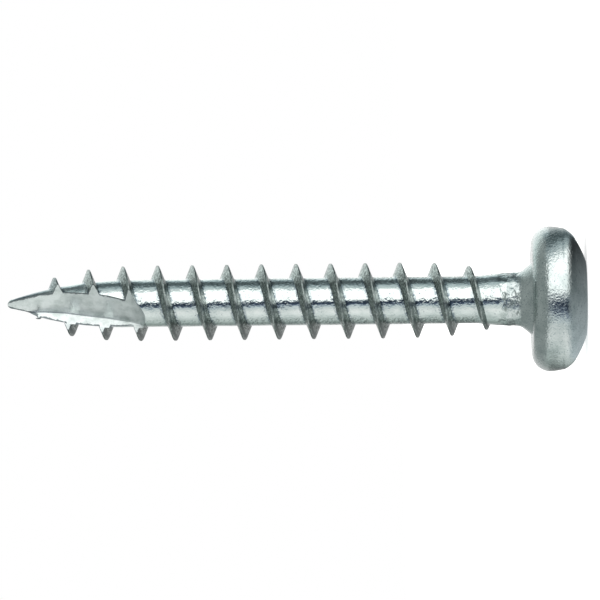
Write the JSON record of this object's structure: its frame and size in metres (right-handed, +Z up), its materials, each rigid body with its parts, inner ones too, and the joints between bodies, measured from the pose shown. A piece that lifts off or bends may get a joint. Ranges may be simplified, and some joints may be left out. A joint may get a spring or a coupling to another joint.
{
  "type": "wood screw",
  "caption": "Pan head wood screw with a cross recess, a coarse thread and a cut point, standing on its head.",
  "frame": {"origin": "on the table, on the screw's axis, at the flat end of its head", "axes": "+Z up from the head to the point, -Y the side that the picture shows, with the cut in the point turned to it"},
  "size_m": [0.0096, 0.0098, 0.0386],
  "materials": {
    "zinc_plated_steel": "bright zinc plating over rolled steel"
  },
  "bodies": {
    "root": {"pan_head_wood_screw": "zinc_plated_steel"}
  },
  "joints": []
}
